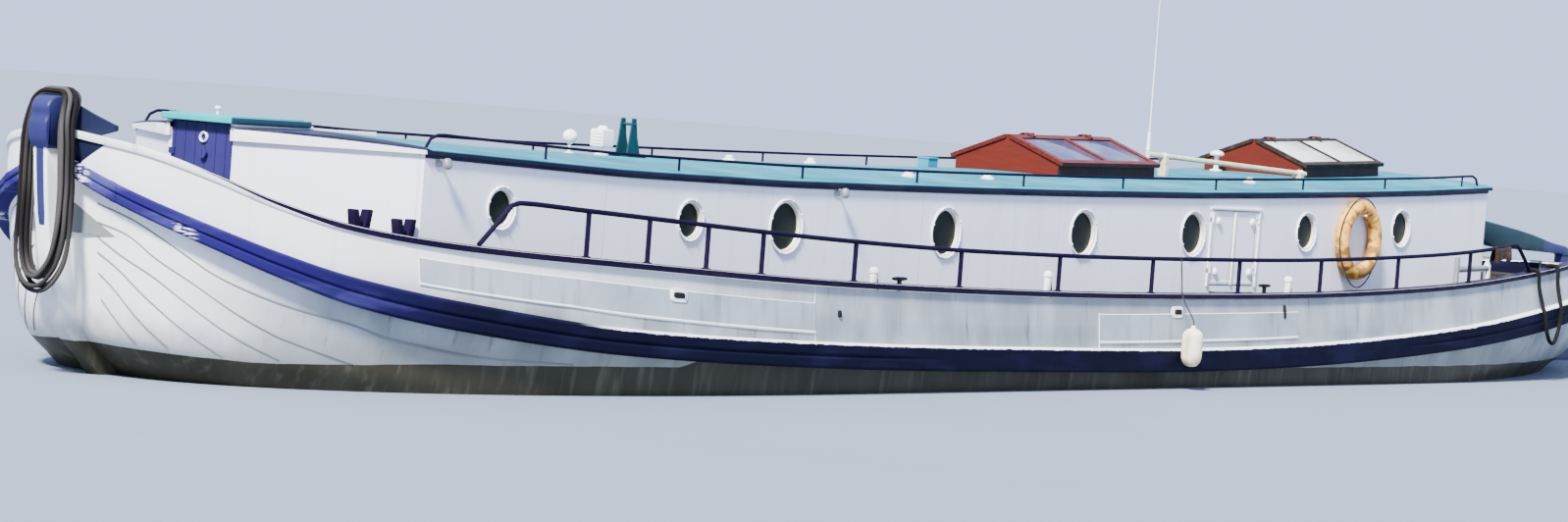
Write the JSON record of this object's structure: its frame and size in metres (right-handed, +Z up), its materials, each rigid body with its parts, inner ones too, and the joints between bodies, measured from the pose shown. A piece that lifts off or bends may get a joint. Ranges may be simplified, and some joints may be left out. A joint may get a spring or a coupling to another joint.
{
  "type": "houseboat",
  "caption": "Long flat-bottomed steel barge made into a houseboat: low cabin with round windows, ridged skylights, railed side decks, outside rudder with tiller.",
  "frame": {"origin": "amidships on the centreline, on the underside of the flat bottom", "axes": "+X towards the bow, +Y to port, +Z up"},
  "size_m": [23.035, 4.2663, 4.33],
  "materials": {
    "hull_paint": "white gloss paint above the boot-top, olive grey below it, weathered",
    "white_paint": "white gloss paint with grime",
    "navy_paint": "dark navy gloss paint",
    "blue_paint": "royal blue gloss paint",
    "bottom_paint": "dark olive grey matte bottom paint",
    "turquoise_paint": "turquoise deck paint",
    "teal_paint": "dark teal gloss paint",
    "charcoal_paint": "charcoal paint",
    "bronze": "cast bronze",
    "mahogany": "red-brown varnished wood, the sashes' panes clear",
    "brown_wood": "dark brown stained wood",
    "pole_wood": "cream painted wood",
    "white_plastic": "white",
    "buoy_plastic": "faded orange and cream",
    "cream_plastic": "cream, scuffed",
    "rope": "laid rope, dark with tar and dirt"
  },
  "bodies": {
    "boat": {"hull_bow": "hull_paint", "hull_middle": "hull_paint", "hull_stern": "hull_paint", "bulwark_bow_port": "white_paint", "bulwark_middle_port": "white_paint", "bulwark_stern_port": "white_paint", "bulwark_bow_starboard": "white_paint", "bulwark_middle_starboard": "white_paint", "bulwark_stern_starboard": "white_paint", "cap_rail_bow_port": "navy_paint", "cap_rail_middle_port": "navy_paint", "cap_rail_stern_port": "navy_paint", "cap_rail_bow_starboard": "navy_paint", "cap_rail_middle_starboard": "navy_paint", "cap_rail_stern_starboard": "navy_paint", "wale_port": "navy_paint", "wale_starboard": "navy_paint", "stem_bar": "white_paint", "stem_head": "blue_paint", "stern_frame": "bottom_paint", "cabin_side_port": "white_paint", "cabin_side_starboard": "white_paint", "cabin_front": "white_paint", "cabin_back": "white_paint", "roof": "turquoise_paint", "skylight_fore_frame": "mahogany", "skylight_aft_frame": "mahogany", "handrail_port": "navy_paint", "handrail_starboard": "navy_paint", "roof_rail_port": "navy_paint", "roof_rail_starboard": "navy_paint", "bollards_port": "navy_paint", "bollards_starboard": "navy_paint", "mooring_post_fore_port": "charcoal_paint", "mooring_post_fore_starboard": "charcoal_paint", "mooring_post_aft_port": "charcoal_paint", "mooring_post_aft_starboard": "charcoal_paint", "tabernacle": "teal_paint", "roof_lantern": "white_paint", "roof_vent": "white_paint", "aerial": "white_plastic", "roof_pole": "pole_wood", "lifebuoy": "buoy_plastic", "fender": "cream_plastic", "deck_box": "brown_wood", "bow_hank": "rope", "fender_rope": "rope", "stern_bight": "rope"},
    "rudder": {"rudder": "blue_paint", "tiller": "teal_paint"},
    "propeller": {"propeller": "bronze"},
    "front_door": {"front_door": "blue_paint"},
    "aft_door": {"aft_door": "blue_paint"},
    "front_lid": {"front_lid": "turquoise_paint"},
    "shutter_fore": {"shutter_fore": "white_paint"},
    "shutter_aft": {"shutter_aft": "white_paint"},
    "skylight_fore_sash_port": {"skylight_fore_sash_port": "mahogany"},
    "skylight_fore_sash_starboard": {"skylight_fore_sash_starboard": "mahogany"},
    "skylight_aft_sash_port": {"skylight_aft_sash_port": "mahogany"},
    "skylight_aft_sash_starboard": {"skylight_aft_sash_starboard": "mahogany"}
  },
  "joints": [
    {"name": "rudder_turn", "type": "hinge", "parent": "boat", "child": "rudder", "pos_m": [-11.12, 0, 1], "axis": [0, 0, 1], "range_deg": [-30, 30]},
    {"name": "propeller_spin", "type": "hinge", "parent": "boat", "child": "propeller", "pos_m": [-10.33, 0, 0.35], "axis": [1, 0, 0], "continuous": true},
    {"name": "front_door_hinge", "type": "hinge", "parent": "boat", "child": "front_door", "pos_m": [9.422, -0.285, 2], "axis": [0, 0, -1], "range_deg": [0, 110]},
    {"name": "aft_door_hinge", "type": "hinge", "parent": "boat", "child": "aft_door", "pos_m": [-6.702, 0.34, 1.9], "axis": [0, 0, -1], "range_deg": [0, 110]},
    {"name": "front_lid_slide", "type": "slide", "parent": "boat", "child": "front_lid", "axis": [-1, 0, 0], "range_m": [0, 0.64]},
    {"name": "shutter_fore_hinge", "type": "hinge", "parent": "boat", "child": "shutter_fore", "pos_m": [-1.61, 1.372, 1.9], "axis": [0, 0, -1], "range_deg": [0, 160]},
    {"name": "shutter_aft_hinge", "type": "hinge", "parent": "boat", "child": "shutter_aft", "pos_m": [-2.39, 1.372, 1.9], "axis": [0, 0, 1], "range_deg": [0, 160]},
    {"name": "skylight_fore_port_hinge", "type": "hinge", "parent": "boat", "child": "skylight_fore_sash_port", "pos_m": [-1.1626, 0.03511, 2.77195], "axis": [0.9998, 0, -0.0217], "range_deg": [0, 60]},
    {"name": "skylight_fore_starboard_hinge", "type": "hinge", "parent": "boat", "child": "skylight_fore_sash_starboard", "pos_m": [-1.1626, -0.03511, 2.77195], "axis": [-0.9998, 0, 0.0217], "range_deg": [0, 60]},
    {"name": "skylight_aft_port_hinge", "type": "hinge", "parent": "boat", "child": "skylight_aft_sash_port", "pos_m": [-5.27575, 0.03511, 2.90107], "axis": [0.9991, 0, -0.0419], "range_deg": [0, 60]},
    {"name": "skylight_aft_starboard_hinge", "type": "hinge", "parent": "boat", "child": "skylight_aft_sash_starboard", "pos_m": [-5.27575, -0.03511, 2.90107], "axis": [-0.9991, 0, 0.0419], "range_deg": [0, 60]}
  ]
}
